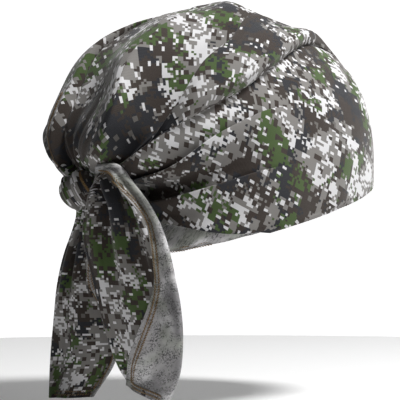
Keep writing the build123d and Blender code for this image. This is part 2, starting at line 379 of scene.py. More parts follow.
knot_low, knot_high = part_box("knot_wrap")
KNOT = np.array((knot_low + knot_high) / 2)
CENTRE = np.array([0.0, 8.0, 10.0]) * MM
AXIS = (KNOT - CENTRE) / np.linalg.norm(KNOT - CENTRE)
UP = np.array([0, 0, 1.0]) - AXIS * AXIS[2]
UP /= np.linalg.norm(UP)
RIGHT = np.cross(UP, AXIS)
RIGHT = RIGHT if RIGHT[0] < 0 else -RIGHT
# design dimensions of the hem: its tilt, where it tucks in at the nape, and where its rear edge rises
TILT = math.radians(14.4)
HEM_NORMAL = np.array([0, math.sin(TILT), math.cos(TILT)])
FOLD_BACK = 52 * MM
RISE_AT = np.array([0, 55 * math.cos(TILT), -55 * math.sin(TILT)]) * MM
RISE_SLOPE = math.tan(math.radians(33 - 14.4))


def direction(rho, phi):
    """Unit vectors from polar angles: rho 0 at the knot, phi 0 straight up and positive to the right."""
    rho, phi = np.radians(rho), np.radians(phi)
    return (
        np.cos(rho)[..., None] * AXIS
        + (np.sin(rho) * np.cos(phi))[..., None] * UP
        + (np.sin(rho) * np.sin(phi))[..., None] * RIGHT
    )


def reach(tree, dirs):
    """Distance from the centre to the outer face of a CAD shell, nan where there is none."""
    flat = dirs.reshape(-1, 3)
    out = np.full(len(flat), np.nan)
    for i, d in enumerate(flat):
        d = Vector(d)
        start = Vector(CENTRE) + d * 0.3
        hit = tree.ray_cast(start, -d, 0.3)
        if hit[0] is not None:
            out[i] = 0.3 - hit[3]
    return out.reshape(dirs.shape[:-1])


# the outer layer's and the lining's distance by direction, every 2 degrees of rho and 3 of phi
TABLE_RHO = np.linspace(0, 180, 91)
TABLE_PHI = np.linspace(-180, 180, 121)
table_dirs = direction(*np.meshgrid(TABLE_RHO, TABLE_PHI, indexing="ij"))
outer_table = reach(CROWN, table_dirs)
lining_table = reach(LINING, table_dirs)
outer_table = np.where(np.isnan(outer_table), lining_table * 1.0246, outer_table)
lining_table = np.where(np.isnan(lining_table), outer_table / 1.0246, lining_table)
for t in (outer_table, lining_table):
    for j in range(t.shape[1]):
        good = ~np.isnan(t[:, j])
        t[:, j] = np.interp(TABLE_RHO, TABLE_RHO[good], t[good, j])


def lookup(table, rho, phi):
    phi = (phi + 180) % 360 - 180
    x = np.clip(rho / 2, 0, 89.999)
    y = np.clip((phi + 180) / 3, 0, 119.999)
    i, j = x.astype(int), y.astype(int)
    a, b = x - i, y - j
    return blend4(table[i, j], table[i, j + 1], table[i + 1, j + 1], table[i + 1, j], a, b)


# ---------------------------------------------------------------- outer layer with its folds

# Each fold runs out from the knot: its name, the column it is drawn in, its path as (rho, phi), and the
# cloth's height over the smooth cap on its lower-phi and higher-phi side as (rho, mm). Where the two heights
# differ, the higher side laps over; None means that they are the same.
FOLDS = [
    (
        "left_edge",
        -103,
        [(0, -108), (40, -103), (80, -98), (180, -92)],
        [(0, 0), (25, 2), (60, 1), (80, 0)],
        None,
    ),
    (
        "left_gather",
        -80,
        [(0, -92), (40, -86), (80, -74), (180, -62)],
        [(0, 1), (20, 3), (60, 2), (90, 0)],
        [(0, 0), (30, -1), (60, 0)],
    ),
    (
        "left_large",
        -50,
        [(0, -48), (22, -48), (40, -50), (60, -50), (80, -44), (100, -34), (120, -26), (180, -20)],
        [(0, 1), (10, 8), (20, 3), (40, -2), (80, -1), (100, 0)],
        [(0, 2), (10, 9), (18, 5), (25, 3), (60, 4), (90, 3), (110, 0)],
    ),
    (
        "back_left",
        -14,
        [(0, -60), (8, -34), (17, -16), (30, -12), (50, -12), (80, -10), (180, -8)],
        [(0, 2), (8, 9), (14, 5), (20, 2.5), (30, 1), (45, 1), (60, 1), (80, 0)],
        [(0, -1), (12, -6), (25, -8), (45, -5), (70, 0)],
    ),
    (
        "ridge",
        25,
        [(0, 66), (22, 58), (30, 46), (41, 24), (55, 14), (180, 10)],
        [(0, 0), (12, 4), (25, 7.5), (38, 7), (55, 3), (75, 0)],
        None,
    ),
    (
        "roll_top",
        44,
        [
            (0, 70), (22, 65), (30, 62), (40, 57), (48, 51), (60, 39), (71, 31), (84, 18), (100, 12),
            (180, 12),
        ],
        [(0, -1), (20, -6), (36, -11), (50, -11), (65, -8), (85, -3), (105, 0)],
        [(0, -1), (20, -5), (36, -9), (43, -1), (52, 6), (64, 7), (80, 4), (95, 1), (105, 0)],
    ),
    (
        "roll_bottom",
        54,
        [
            (0, 74), (22, 69), (30, 67), (38, 63), (46, 57), (54, 53), (63, 48.5), (74, 43), (87, 34),
            (96, 27), (106, 19), (180, 16),
        ],
        [
            (0, -1), (20, -5), (36, -8), (43, -1), (52, 6), (64, 8), (80, 7), (95, 5), (108, 5),
            (118, 2), (128, 0),
        ],
        [(0, 1), (20, 3), (38, 2), (47, -3), (60, -5.5), (75, -5.5), (90, -5), (106, -3), (120, 0)],
    ),
    (
        "gather_top",
        66,
        [(0, 84), (22, 80), (37, 77), (56, 65), (88, 52), (120, 45), (180, 40)],
        [(0, 0), (30, -2), (60, -2), (92, 0)],
        [(0, 0), (20, 4), (55, 3.5), (75, 2), (92, 0)],
    ),
    (
        "gather_valley",
        78,
        [(0, 92), (27, 87), (44, 82), (80, 66), (180, 52)],
        [(0, 0), (18, -5), (30, -7), (45, -5), (60, -2), (80, 0)],
        None,
    ),
    (
        "gather_bottom",
        89,
        [(0, 101), (27, 97), (44, 89), (80, 76), (180, 64)],
        [(0, 0), (27, -2), (45, -1), (60, 0)],
        [(0, 1), (20, 6), (44, 5.5), (70, 3), (95, 0)],
    ),
    (
        "edge",
        103,
        [(0, 112), (27, 106), (41, 104), (66, 102), (85, 98), (180, 90)],
        [(0, 0), (27, 3), (45, 2), (66, 1), (80, 0)],
        None,
    ),
]
# extra fullness in the middle of the panel that follows each fold: (rho, mm)
PANELS = {
    "back_left": [(0, 0), (15, -4), (30, -7), (50, -4), (75, 0)],
    "ridge": [(0, 0), (25, -4), (40, -9), (55, -6), (80, 0)],
    "roll_top": [(0, 0), (50, 1), (70, 2), (95, 0)],
    "roll_bottom": [(0, 0), (30, 1.5), (60, 1), (100, 0)],
}
ZONE = 1.3  # half width of a fold's own columns, in degrees
ZONE_COLUMNS = 12
# across a lap: distance as a share of the zone, height as a share of the step
LAP = np.array(
    [
        (0, 0.0, 1.0), (0.1, 0.22, 1.0), (0.2, 0.45, 1.0), (0.3, 0.66, 0.97), (0.38, 0.8, 0.88),
        (0.46, 0.88, 0.7), (0.54, 0.88, 0.46), (0.62, 0.8, 0.22), (0.7, 0.66, 0.05), (0.78, 0.6, 0.0),
        (0.88, 0.74, 0.0), (1, 1.0, 0.0),
    ]
)

marks = [-180] + [f[1] for f in FOLDS] + [180]
ROWS = 216
FIRST_RHO = 4.0
c_marks = np.array(marks, float)


def phi_of(c, rho):
    """Where column c lies at rho: the fold columns follow their paths and the rest lie between."""
    c, rho = np.broadcast_arrays(c, rho)
    end = np.full(rho.shape, 180.0)
    at = np.stack([-end] + [curve(f[2], rho) for f in FOLDS] + [end])
    k = np.clip(np.searchsorted(c_marks, c, side="right") - 1, 0, len(c_marks) - 2)
    s = (c - c_marks[k]) / (c_marks[k + 1] - c_marks[k])
    low = np.take_along_axis(at, k[None], 0)[0]
    high = np.take_along_axis(at, (k + 1)[None], 0)[0]
    return low + (high - low) * s


def base_point(rho, phi):
    return CENTRE + direction(rho, phi) * lookup(outer_table, rho, phi)[..., None]


def inside(rho, phi):
    """True above the hem and above the rising rear edge."""
    p = base_point(rho, phi)
    above_hem = p @ HEM_NORMAL > 0
    above_rise = p[..., 2] > RISE_AT[2] + (p[..., 1] - RISE_AT[1]) * RISE_SLOPE
    return above_hem & ((p[..., 1] < RISE_AT[1]) | above_rise)


def run_to_edge(is_cloth, low, limit):
    """The rho at which each column leaves the cloth: first in whole degrees, then by halving."""
    for step in np.arange(5, limit, 1.0):
        ok = is_cloth(np.full(len(low), step))
        low = np.where(ok & (low >= step - 1.01), step, low)
    high = low + 1.0
    for _ in range(14):
        mid = (low + high) / 2
        ok = is_cloth(mid)
        low, high = np.where(ok, mid, low), np.where(ok, high, mid)
    return low


def hem_rho(cols):
    """How far each column runs before it meets the hem or the rising rear edge."""
    start = np.full(len(cols), FIRST_RHO + 1.0)
    return run_to_edge(lambda rho: inside(rho, phi_of(cols, rho)), start, 176)


# columns lie about a degree apart, closer where the hem runs across them, and closest over the folds
fine = np.arange(-180, 180.01, 0.15)
fine_rho = hem_rho(fine)
fine_edge = base_point(fine_rho, phi_of(fine, fine_rho))
hem_speed = np.append(np.linalg.norm(np.diff(fine_edge, axis=0), axis=1) / 0.15, 0) / (2.2 * MM)
crowd = np.concatenate([[0], np.cumsum((np.maximum(hem_speed, 1 / 0.95) * 0.15)[:-1])])
columns, zone_start = [], {}
for k in range(len(marks) - 1):
    low = marks[k] + (ZONE if k else 0)
    high = marks[k + 1] - (ZONE if k < len(marks) - 2 else 0)
    first, last = np.interp([low, high], fine, crowd)
    steps = np.interp(np.linspace(first, last, max(5, int(last - first) + 2)), crowd, fine)
    if k:
        zone_start[FOLDS[k - 1][0]] = len(columns) - 1
        columns += [*np.linspace(marks[k] - ZONE, marks[k] + ZONE, ZONE_COLUMNS + 1)[1:-1]]
    columns += [*steps]
columns = np.array(columns[:-1])  # the last column is the first
while len(columns) % 4:
    columns = np.append(columns, (columns[-1] + 180) / 2)
LAST_RHO = hem_rho(columns)

share = np.linspace(0, 1, ROWS + 1)[:, None]
RHO = FIRST_RHO + (LAST_RHO[None, :] - FIRST_RHO) * share
C = np.broadcast_to(columns[None, :], RHO.shape)
PHI = phi_of(C, RHO)

near_h = [curve(f[3], RHO) for f in FOLDS]
far_h = [curve(f[4] or f[3], RHO) for f in FOLDS]
height = np.zeros(RHO.shape)
slide = np.zeros(RHO.shape)  # degrees along phi
for k in range(len(marks) - 1):
    lo = marks[k] + (ZONE if k else 0)
    hi = marks[k + 1] - (ZONE if k < len(marks) - 2 else 0)
    inside_panel = (C >= lo - 1e-6) & (C <= hi + 1e-6)
    s = np.clip((C - lo) / (hi - lo), 0, 1)
    left = far_h[k - 1] if k else 0.0
    right = near_h[k] if k < len(FOLDS) else 0.0
    fade = 2 * np.clip(14.0 / (hi - lo), 0.0, 0.5)  # a fold's height fades over this share of a wide panel
    value = left * (1 - smooth(s / fade)) + right * smooth((s - 1 + fade) / fade)
    if k and FOLDS[k - 1][0] in PANELS:
        value = value + curve(PANELS[FOLDS[k - 1][0]], RHO) * 4 * s * (1 - s)
    height = np.where(inside_panel, value, height)
for k, f in enumerate(FOLDS):
    in_zone = np.abs(C - f[1]) <= ZONE + 1e-6
    q = np.clip((C - f[1] + ZONE) / (2 * ZONE), 0, 1)
    a, b = near_h[k], far_h[k]
    step = a - b
    lap = np.clip(np.abs(step) / 3.0, 0, 1)
    forward = step >= 0  # the near side is the higher one and laps towards far
    qq = np.where(forward, q, 1 - q)
    along = np.interp(qq, LAP[:, 0], LAP[:, 1])
    rise = np.interp(qq, LAP[:, 0], LAP[:, 2])
    soft = 1 - smooth(qq)
    rise = rise * lap + soft * (1 - lap)
    h = np.where(forward, b + step * rise, a - step * rise)
    moved = qq + (along - qq) * lap
    moved = np.where(forward, moved, 1 - moved)
    height = np.where(in_zone, h, height)
    slide = np.where(in_zone, (moved - q) * 2 * ZONE, slide)

# gathers that die out away from the knot, and a little slackness everywhere
rad = np.radians(PHI)
gather = np.zeros(RHO.shape)
for count, amp, fade in ((17, 0.9, 34), (29, 0.55, 26), (11, 0.7, 50)):
    ripples = np.sin(rad * count + rng.uniform(0, 6.28) + 0.5 * np.sin(RHO / 14))
    gather += amp * ripples * np.exp(-((RHO / fade) ** 2))
edge_fade = smooth((LAST_RHO[None, :] - RHO) / 6.0)
arc_x = np.radians(RHO) * 100
slack = 0.9 * waves(arc_x, rad * 60 * np.sin(np.radians(RHO)), 3, (75, 52, 38))
# the back left corner stands up, the back fold hangs beside the knot and the crown sits low on top
corner = 5.5 * np.exp(-(((RHO - 49) / 15) ** 2) - ((PHI + 26) / 22) ** 2)
hang = 11.0 * edge_fade * np.exp(-(((RHO - 26) / 9) ** 2) - ((PHI + 74) / 22) ** 2)
crown_sink = 2.2 * np.exp(-(((RHO - 88) / 30) ** 2) - (PHI / 38) ** 2)
height = (height + gather) * (0.25 + 0.75 * edge_fade) + slack * edge_fade
height = height + corner + hang - crown_sink
phi_all = PHI + slide * (phi_of(C + 0.5, RHO) - phi_of(C - 0.5, RHO))
points = base_point(RHO, phi_all) + direction(RHO, phi_all) * (height * MM)[..., None]

# the turned edge: round under the brow into the lining, tight at the nape
edge = points[-1]
along = unit(np.roll(edge, -1, 0) - np.roll(edge, 1, 0))
outward = direction(LAST_RHO, phi_all[-1])
outward = unit(outward - along * (outward * along).sum(1)[:, None])
down = np.cross(along, outward)
down = np.where((down[:, 2] > 0)[:, None], -down, down)
tight = smooth((edge[:, 1] - FOLD_BACK) / (10 * MM))
width = (2.5 * (1 - tight) + 1.3 * tight) * MM
depth = (2.2 * (1 - tight) + 0.7 * tight) * MM
extra = []
for step in range(1, 8):
    a = math.pi * step / 7
    inward = outward * (width * (1 - math.cos(a)) / 2)[:, None]
    extra.append(edge - inward + down * (depth * math.sin(a))[:, None])
extra.append(extra[-1] - down * (5 * MM))
points = np.concatenate([points, np.array(extra)])


def unwrap(base, closed_at):
    """Flat coordinates of a closed grid's faces, (rows, columns, 4, 2), by Blender's own unwrap. closed_at
    lists the cuts as (column, first row, last row)."""
    rows, cols = base.shape[:2]
    index = np.arange(rows * cols).reshape(rows, cols)
    nxt = np.roll(index, -1, axis=1)
    faces = np.stack([index[:-1], nxt[:-1], nxt[1:], index[1:]], -1).reshape(-1, 4)
    mesh = bpy.data.meshes.new("flat")
    mesh.from_pydata(base.reshape(-1, 3).tolist(), [], faces.tolist())
    mesh.uv_layers.new(name="Cloth")
    seam = set()
    for col, first, last in closed_at:
        for r in range(first, last):
            seam.add((index[r, col], index[r + 1, col]))
    for e in mesh.edges:
        a, b = e.vertices
        e.use_seam = (a, b) in seam or (b, a) in seam
    obj = to_scene("flat", mesh)
    bpy.context.view_layer.objects.active = obj
    obj.select_set(True)
    bpy.ops.object.mode_set(mode="EDIT")
    bpy.ops.mesh.select_all(action="SELECT")
    bpy.ops.uv.unwrap(method="MINIMUM_STRETCH", iterations=10, margin=0.0)
    bpy.ops.object.mode_set(mode="OBJECT")
    uv = np.zeros(len(faces) * 8, np.float32)
    mesh.uv_layers["Cloth"].data.foreach_get("uv", uv)
    uv = uv.reshape(rows - 1, cols, 4, 2).astype(float)
    area3 = sum(p.area for p in mesh.polygons)
    x, y = uv[..., 0], uv[..., 1]
    dx, dy = x[..., :2] - x[..., 2:], y[..., :2] - y[..., 2:]
    area2 = 0.5 * np.abs(dx[..., 0] * dy[..., 1] - dx[..., 1] * dy[..., 0]).sum()
    bpy.data.objects.remove(obj)
    return uv * math.sqrt(area3 / area2)


STEP = 4  # the unwrap is made on every fourth row and column
total_rows = points.shape[0] - 1
coarse_rows = np.append(np.arange(0, ROWS + 1, STEP), total_rows)
# cuts: one down the wearer's left, and two hidden under laps, as far as the lap runs
seams = [(0, 0, len(coarse_rows) - 1)]
for name, until in (("roll_bottom", 100), ("left_large", 95)):
    col = int(round((zone_start[name] + 8) / STEP))
    last = int(np.searchsorted(RHO[:, col * STEP][::STEP], until))
    seams.append((col, 0, last))
coarse = unwrap(points[coarse_rows][:, ::STEP], seams)


def fine_uv(coarse, rows, cols):
    """Spreads each coarse face's flat corners over the fine faces in it."""
    out = np.zeros((rows, cols, 4, 2))
    r = np.arange(rows)
    ci = np.minimum(r // STEP, len(coarse_rows) - 2)
    r0, r1 = coarse_rows[ci], coarse_rows[ci + 1]
    c = np.arange(cols)
    cj = c // STEP
    for k, (dr, dc) in enumerate(((0, 0), (0, 1), (1, 1), (1, 0))):
        a = ((r + dr - r0) / (r1 - r0))[:, None, None]
        b = ((c + dc - cj * STEP) / STEP)[None, :, None]
        q = coarse[ci][:, cj]
        out[:, :, k] = blend4(q[:, :, 0], q[:, :, 1], q[:, :, 2], q[:, :, 3], a, b)
    return out


uv = fine_uv(coarse, total_rows, len(columns))
# turn the print so that its rows follow the photo-side temple
i, j = int(0.55 * ROWS), int(np.argmin(np.abs(columns - 60)))
du = uv[i, j, 1] - uv[i, j, 0]
d3 = points[i, j + 1] - points[i, j]
dv = uv[i, j, 3] - uv[i, j, 0]
v3 = points[i + 1, j] - points[i, j]
basis3 = np.stack([d3, v3])
target = np.array([-0.20, -0.93, -0.25])  # a row of the print, towards the brow
coeff = np.linalg.lstsq(basis3.T, target, rcond=None)[0]
flat_row = coeff[0] * du + coeff[1] * dv
angle = math.atan2(flat_row[1], flat_row[0])
turn = np.array([[math.cos(-angle), -math.sin(-angle)], [math.sin(-angle), math.cos(-angle)]])
uv = uv @ turn.T
uv[..., 0] += 0.18 * uv[..., 1]
faces_uv = np.concatenate([uv[:, :-1].reshape(-1, 4, 2), uv[:, -1]])
outer = grid_mesh("outer_cloth", points, faces_uv, OUTSIDE_PRINT, closed=True)
thicken(outer, 0.5 * MM)
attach(outer, "cap")
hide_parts("crown_cloth", "brow_fold", "right_tie_gather", "left_tie_gather", "left_back_fold")

# ---------------------------------------------------------------- lining

LINING_COLUMNS = 200
lining_phi = np.linspace(-180, 180, LINING_COLUMNS, endpoint=False)


def above_hem(rho, phi):
    at = CENTRE + direction(rho, phi) * lookup(lining_table, rho, phi)[..., None]
    return at @ HEM_NORMAL > 0


low = run_to_edge(lambda rho: above_hem(rho, lining_phi), np.full(LINING_COLUMNS, FIRST_RHO), 178)
LINING_ROWS = 110
share = np.linspace(0, 1, LINING_ROWS + 1)[:, None]
lin_rho = FIRST_RHO + (low[None, :] - FIRST_RHO) * share
lin_phi = np.broadcast_to(lining_phi[None, :], lin_rho.shape)

# it keeps clear of the deepest folds of the outer layer
dip_phi = np.arange(-180, 180, 3.0)
dip_rho = np.arange(0, 182, 3.0)
dip = np.zeros((len(dip_rho), len(dip_phi)))
ri = np.clip(np.round(RHO / 3).astype(int), 0, len(dip_rho) - 1)
pj = np.round((phi_all + 180) % 360 / 3).astype(int) % len(dip_phi)
np.minimum.at(dip, (ri, pj), height)
for _ in range(2):
    ring = [np.roll(dip, k, 1) for k in (-1, 0, 1)]
    dip = np.minimum.reduce(ring)
    dip[1:] = np.minimum(dip[1:], dip[:-1])
    dip[:-1] = np.minimum(dip[:-1], dip[1:])
li = np.clip(lin_rho / 3, 0, len(dip_rho) - 1.001)
lj = ((lin_phi + 180) % 360) / 3
i0, j0 = li.astype(int), lj.astype(int) % len(dip_phi)
j1 = (j0 + 1) % len(dip_phi)
fi, fj = li - i0, lj - lj.astype(int)
dip_here = blend4(dip[i0, j0], dip[i0, j1], dip[i0 + 1, j1], dip[i0 + 1, j0], fi, fj)
lin_at = lookup(lining_table, lin_rho, lin_phi)
room = lookup(outer_table, lin_rho, lin_phi) + (dip_here - 1.6) * MM
# 1 where the lining shows below the outer layer's edge
outer_edge = np.interp(lining_phi, *np.array(sorted(zip(phi_all[-1], LAST_RHO))).T)
bare = smooth((lin_rho - (outer_edge + 1)[None, :]) / 4)
bare = bare * smooth((low[None, :] - lin_rho + 30) / 30) * (np.abs(lin_phi) > 60)
lin_at = np.where(bare > 0, np.minimum(lin_at, room) * (1 - bare) + lin_at * bare, np.minimum(lin_at, room))
# drawn in a little along the brow, in front of the nape's edge
lin_y = (CENTRE + direction(lin_rho, lin_phi) * lin_at[..., None])[..., 1]
front_pull = smooth(1 - (low[None, :] - lin_rho) / 5) * (1 - smooth((lin_y - FOLD_BACK) / (8 * MM)))
lin_at = lin_at - front_pull * 0.5 * MM
ripple = 1.2 * waves(np.radians(lin_phi) * 90, np.radians(lin_rho) * 90, 5, (34, 22, 17)) * bare
lin_points = CENTRE + direction(lin_rho, lin_phi) * (lin_at + ripple * MM)[..., None]
HEAD_RADIUS = 90 * MM
around = np.radians(lin_phi) * np.sin(np.radians(np.clip(lin_rho, 20, 160)))
lin_uv = np.stack([around, np.radians(lin_rho)], -1) * HEAD_RADIUS
lining = grid_mesh("lining", lin_points, lin_uv, OUTSIDE_REVERSE, closed=True)
thicken(lining, 0.5 * MM)
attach(lining, "cap")
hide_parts("lining_cloth", "nape_lining", "hem_corner")

# ---------------------------------------------------------------- knot


def band_axes(axis):
    """The band's own axis, the direction nearest to straight back, and the third."""
    axis = unit(np.array(axis))
    side = unit(np.array([0, 1, 0]) - axis * axis[1])
    return axis, side, np.cross(axis, side)


def band_points(centre, axis, half, radius, a, th):
    """Points on a soft band of cloth: a runs along it from -1 to 1, and radius(a, th) is in mm."""
    axis, side, third = band_axes(axis)
    r = radius(a, th) * MM
    along = np.broadcast_to(a * half * MM, r.shape)
    return (
        centre
        + axis * along[..., None]
        + side * (r * np.cos(th))[..., None]
        + third * (r * np.sin(th))[..., None]
    )


def band(name, centre, axis, half, radius, rings, around, print_scale):
    """The print is scaled along the band and round it, and starts away from the other pieces' print."""
    a = np.linspace(-1, 1, rings)[:, None]
    th = np.linspace(0, 2 * math.pi, around + 1)[None, :]
    points = band_points(centre, axis, half, radius, a, th)
    u = a * half * MM * print_scale[0] + 0.15
    v = th * 11 * MM * print_scale[1] + 0.09
    return grid_mesh(name, points, np.stack(np.broadcast_arrays(u, v), -1), OUTSIDE_PRINT)


# the band lies across the photo, rises to the wearer's right and stands a little proud of the gathers
WRAP_AXIS, WRAP_HALF = (-0.70, -0.58, 0.42), 13.0
WRAP_AT = KNOT + np.array([-7.8, 1.7, 0.5]) * MM


def wrap_radius(a, th):
    end = np.sqrt(np.clip(1 - np.abs(a) ** 3.2, 0.02, 1))
    ridges = 1.0 * np.sin(a * 10 + 0.9 * np.sin(th)) + 0.4 * np.sin(a * 23 + 1.5 * np.sin(th + 1))
    return (11.6 + ridges + 0.6 * np.cos(th * 2 + 0.4)) * end


wrap = band("knot_band", WRAP_AT, WRAP_AXIS, WRAP_HALF, wrap_radius, 61, 96, (2.3, 0.34))
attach(wrap, "cap")
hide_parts("knot_wrap")


def core_radius(a, th):
    end = np.sqrt(np.clip(1 - np.abs(a) ** 4, 0.01, 1))
    return (8.2 + 0.7 * np.sin(th * 9 + a * 2) + 1.5 * np.abs(a)) * end


core_at = KNOT + np.array([-6.0, -2.0, 0]) * MM
core = band("knot_core_cloth", core_at, (-1, 0, 0.08), 16.0, core_radius, 41, 80, (0.8, 1.0))
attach(core, "cap")
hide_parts("knot_core")

# ---------------------------------------------------------------- tails

TAIL_TURN = math.radians(28)  # design angle: the tails face this far round from straight back
FACING = np.array([-math.sin(TAIL_TURN), math.cos(TAIL_TURN), 0.0])
ACROSS = np.array([-math.cos(TAIL_TURN), -math.sin(TAIL_TURN), 0.0])


def on_tail(u, z, n):
    """A point from its distance to the wearer's right, height and distance out, in mm."""
    return (u[..., None] * ACROSS + n[..., None] * FACING + z[..., None] * np.array([0, 0, 1.0])) * MM


# where a tail's width, s from 0 to 1, passes from the flap behind to the face, and to the turned-over strip
FLAP_END, STRIP_START = 0.18, 0.72


def tail_points(t, s, left, right, hem, depth):
    """A tail's u, z and n in mm at a share t of its length. s runs from the flap behind, round the inner
    edge, over the face, round the outer edge and back along the turned-over strip to the hem."""
    lu, lz = curve(left, t)[..., 0], curve(left, t)[..., 1]
    ru, rz = curve(right, t)[..., 0], curve(right, t)[..., 1]
    hu, hz = curve(hem, t)[..., 0], curve(hem, t)[..., 1]
    n0 = curve(depth, t)
    span = np.hypot(ru - lu, rz - lz)
    round_in = 2.0
    round_out = np.minimum(2.8, 0.8 * np.hypot(hu - ru, hz - rz))
    fan = np.clip(1 - t * 1.7, 0, 1)

    def face_height(face):
        fold = np.sin(face * 15.5 + 0.6)
        pleat = (
            7.0 * np.sign(fold) * np.abs(fold) ** 0.7 * fan**0.9 * smooth(t * 6)
            + 2.2 * np.sin(face * 29 + 2.0) * fan**1.4 * smooth(t * 6)
            + 1.8 * np.sin(face * 7.5 + t * 4.0 + 0.8) * smooth(t * 3)
            + 1.0 * np.sin(face * 4 - t * 9)
        )
        crown = 5.0 * np.sin(math.pi * face) * smooth(t * 2)
        return pleat * smooth(face * 6) * smooth((1 - face) * 6) + crown

    face = np.clip((s - FLAP_END) / (STRIP_START - FLAP_END), 0, 1)
    u = lu + (ru - lu) * face
    z = lz + (rz - lz) * face
    n = n0 + face_height(face)
    # the flap behind the inner edge
    q = np.clip((FLAP_END - s) / FLAP_END, 0, 1)
    turn = np.clip(q / 0.35, 0, 1) * math.pi
    back = np.clip((q - 0.35) / 0.65, 0, 1)
    behind = q > 0
    ux, uz = (ru - lu) / span, (rz - lz) / span
    flap = np.minimum(0.55 * span, 20.0)
    du = -round_in * np.sin(turn) + flap * back
    u = np.where(behind, lu + ux * du, u)
    z = np.where(behind, lz + uz * du, z)
    under = np.minimum(face_height(np.clip(du / span, 0, 1)), 0)
    n = np.where(behind, n0 - round_in * (1 - np.cos(turn)) + under * back - 0.6 * back, n)
    # the turned-over strip
    q = np.clip((s - STRIP_START) / (1 - STRIP_START), 0, 1)
    turn = np.clip(q / 0.36, 0, 1) * math.pi
    strip = np.clip((q - 0.36) / 0.64, 0, 1)
    over = q > 0
    u = np.where(over, ru + ux * round_out * np.sin(turn) + (hu - ru) * strip, u)
    z = np.where(over, rz + uz * round_out * np.sin(turn) + (hz - rz) * strip, z)
    face_at_hem = np.clip(np.hypot(hu - lu, hz - lz) / span, 0, 1)
    lying_on = face_height(1 - strip * (1 - face_at_hem))
    lift = round_out * (1 - np.cos(turn)) * (1 - 0.55 * strip)
    ripple = 0.7 * np.sin(strip * 3.1) * np.sin(t * 17)
    n = np.where(over, n0 + lift + np.maximum(lying_on, 0) * strip + ripple, n)
    return u, z, n


# each tail's outline at its inner edge, outer edge and hem, as (share of its length, distance right, height),
# and its distance out, in mm
R_LEFT = [
    (0, -44, 23), (0.06, -44.5, 20), (0.14, -45, 15), (0.2, -46, 9), (0.27, -48, 0), (0.34, -48.5, -10),
    (0.45, -45, -26), (0.52, -42, -37), (0.62, -38, -53), (0.76, -31, -76), (0.88, -24.5, -92),
    (1.0, -17, -104),
]
R_RIGHT = [
    (0, -40, 33), (0.06, -27, 33.5), (0.14, -15, 23), (0.2, -5, 12), (0.27, 3, 0), (0.34, 8, -11),
    (0.45, 13, -28), (0.52, 15, -38), (0.62, 18, -53), (0.76, 19.5, -76), (0.88, 17, -97),
    (1.0, 8, -116),
]
R_HEM = [
    (0, -42, 29), (0.06, -31, 29), (0.14, -20, 21), (0.2, -10, 11.5), (0.27, -1.5, -0.5),
    (0.34, 2, -12), (0.45, 4, -28), (0.52, 4, -38), (0.62, 0.5, -54), (0.76, -8.5, -76),
    (0.88, -17, -92), (1.0, -18.5, -104.5),
]
R_DEPTH = [(0, 115), (0.1, 118), (0.3, 119), (0.6, 118), (1, 117)]
L_LEFT = [
    (0, -66, 12), (0.1, -68, 2), (0.2, -73, -10), (0.3, -79, -23), (0.45, -84.5, -43), (0.6, -87, -64),
    (0.8, -90, -92), (1.0, -91.5, -118),
]
L_RIGHT = [
    (0, -54, 12), (0.1, -54, 2), (0.2, -54, -10), (0.3, -54.5, -23), (0.45, -54.5, -43),
    (0.6, -47, -64), (0.8, -43, -90), (1.0, -60, -116),
]
L_HEM = [
    (0, -56, 12), (0.1, -56.5, 2), (0.2, -57, -10), (0.3, -58, -23), (0.45, -58.5, -43),
    (0.6, -48.6, -64), (0.8, -44.4, -90), (1.0, -61.4, -116),
]
L_DEPTH = [(0, 98), (0.1, 93), (0.25, 90), (0.6, 89), (1, 88)]


# columns across a tail, close together where the cloth turns over
SPANS = (
    (0, 0.117, 12),
    (0.117, FLAP_END, 10),
    (FLAP_END, STRIP_START, 90),
    (STRIP_START, 0.82, 14),
    (0.82, 1, 18),
)
COLS = np.unique(np.concatenate([np.linspace(*span) for span in SPANS]))


def tail(name, t0, t1, rows, side, bodies, start, end, replaced):
    """One length of a tail. Its print is measured along the cloth from the middle of each row."""
    shape, print_start = side
    t, s = np.meshgrid(np.linspace(t0, t1, rows), COLS, indexing="ij")
    pts = on_tail(*tail_points(t, s, *shape))
    gaps = np.linalg.norm(np.diff(pts, axis=1), axis=2)
    run = np.concatenate([np.zeros((rows, 1)), np.cumsum(gaps, 1)], 1)
    middle = run[:, len(COLS) // 2][:, None]
    uv = np.stack([(run - middle) * 1.2 + print_start, t * 0.175], -1)
    obj = grid_mesh(name, pts, uv, OUTSIDE_REVERSE)
    thicken(obj, 0.55 * MM)
    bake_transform(obj)
    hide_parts(*replaced)
    return obj


def share_at(shape, height):
    """The share of a tail's length at which its middle reaches a height in mm."""
    t = np.linspace(0, 1, 2001)
    z = (curve(shape[0], t)[:, 1] + curve(shape[1], t)[:, 1]) / 2
    return float(np.interp(-height, -z, t))


RIGHT_SHAPE = (R_LEFT, R_RIGHT, R_HEM, R_DEPTH)
LEFT_SHAPE = (L_LEFT, L_RIGHT, L_HEM, L_DEPTH)
RIGHT_TAIL, LEFT_TAIL = (RIGHT_SHAPE, 0.0), (LEFT_SHAPE, 0.3)
rt = [0.0, share_at(RIGHT_SHAPE, 10), share_at(RIGHT_SHAPE, -40), 1.0]
lt = [0.0, share_at(LEFT_SHAPE, -2), share_at(LEFT_SHAPE, -48), 1.0]


def level(z):
    return (0, 0, z * MM)


# each length's two bodies and two levels, as (bodies, from, to); the lengths are built without them and do
# not bend
RIGHT_TOP = (("cap", "right_root"), level(33), level(17))
RIGHT_MIDDLE = (("right_root", "right_upper"), level(6), level(-14))
RIGHT_END = (("right_upper", "right_lower"), level(-46), level(-66))
LEFT_TOP = (("cap", "left_root"), level(12), level(2))
LEFT_MIDDLE = (("left_root", "left_upper"), level(-3), level(-20))
LEFT_END = (("left_upper", "left_lower"), level(-54), level(-74))

